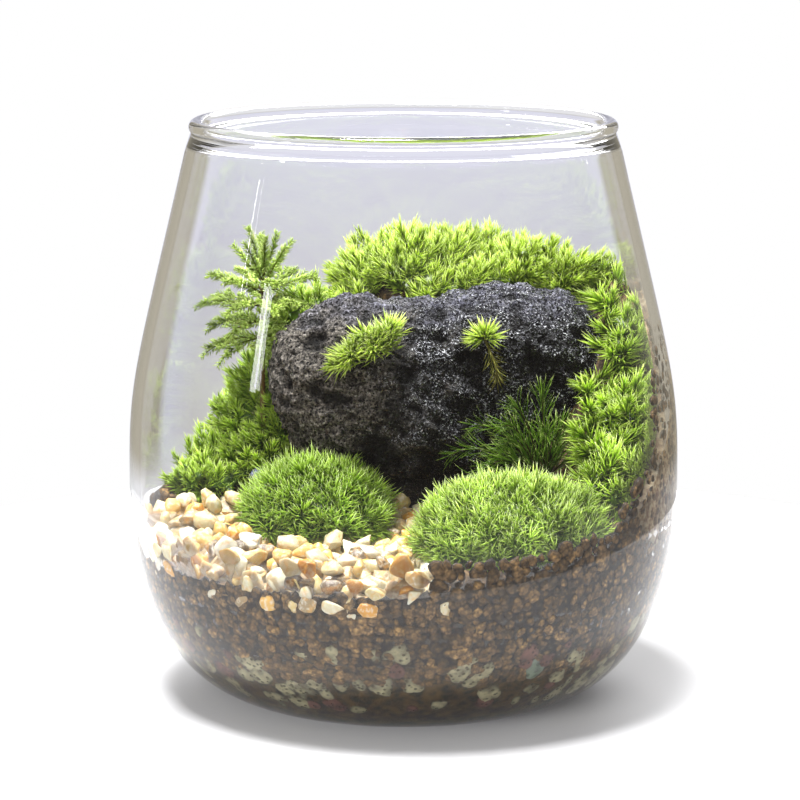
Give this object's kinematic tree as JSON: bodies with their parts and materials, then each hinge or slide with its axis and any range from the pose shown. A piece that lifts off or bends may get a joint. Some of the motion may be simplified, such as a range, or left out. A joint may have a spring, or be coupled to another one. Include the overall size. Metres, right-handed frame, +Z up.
{
  "type": "glass plant terrarium",
  "caption": "Open egg-shaped glass jar planted as a small landscape: drainage stones, a bank of soil, pale gravel, a lava rock, moss cushions and carpets, a dark plume moss and a tree moss.",
  "frame": {"origin": "centre of the jar's flat foot, on the surface that it stands on", "axes": "+Z up along the jar's axis, out of its mouth; -Y towards the viewer of the picture, from the low gravel side; +X to the viewer's right"},
  "size_m": [0.104, 0.104, 0.1085],
  "materials": {
    "glass": "gloss",
    "drainage": "matte",
    "soil": "matte",
    "gravel": "satin",
    "lava": "satin",
    "chip": "satin",
    "bright_moss": "matte",
    "shade_moss": "matte",
    "plume": "satin",
    "tree_moss": "matte"
  },
  "bodies": {
    "root": {"glass_jar": "glass", "drainage_stones": "drainage", "soil_bank": "soil", "gravel_bed": "gravel", "lava_rock": "lava", "dark_chip": "chip", "moss_left_bank": "shade_moss", "moss_back_carpet": "bright_moss", "moss_right_bank": "shade_moss", "moss_cushion_front": "bright_moss", "moss_cushion_right": "bright_moss", "moss_tuft_left": "bright_moss", "moss_tuft_right": "bright_moss", "plume_moss": "plume", "tree_moss": "tree_moss"}
  },
  "joints": []
}
